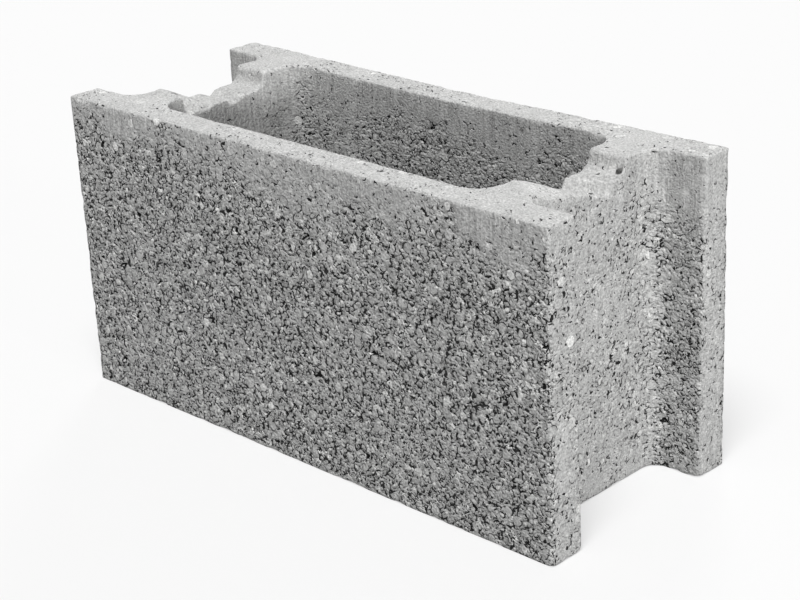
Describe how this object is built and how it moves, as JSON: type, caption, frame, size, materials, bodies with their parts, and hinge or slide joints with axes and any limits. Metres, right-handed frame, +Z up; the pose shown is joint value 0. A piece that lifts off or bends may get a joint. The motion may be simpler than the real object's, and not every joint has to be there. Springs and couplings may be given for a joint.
{
  "type": "hollow concrete formwork block",
  "caption": "Hollow concrete block with a tapered core open top and bottom, recessed ends and notched webs, dry-stacked as formwork for a reinforced wall.",
  "frame": {"origin": "centre of the foot, on the floor that the block stands on", "axes": "+X along the block's length, +Y across the wall from the front shell to the back shell, +Z up"},
  "size_m": [0.5, 0.2, 0.25],
  "materials": {
    "concrete": "vibro-pressed grey concrete, open pored, with pale aggregate showing"
  },
  "bodies": {
    "root": {"formwork_block": "concrete"}
  },
  "joints": []
}
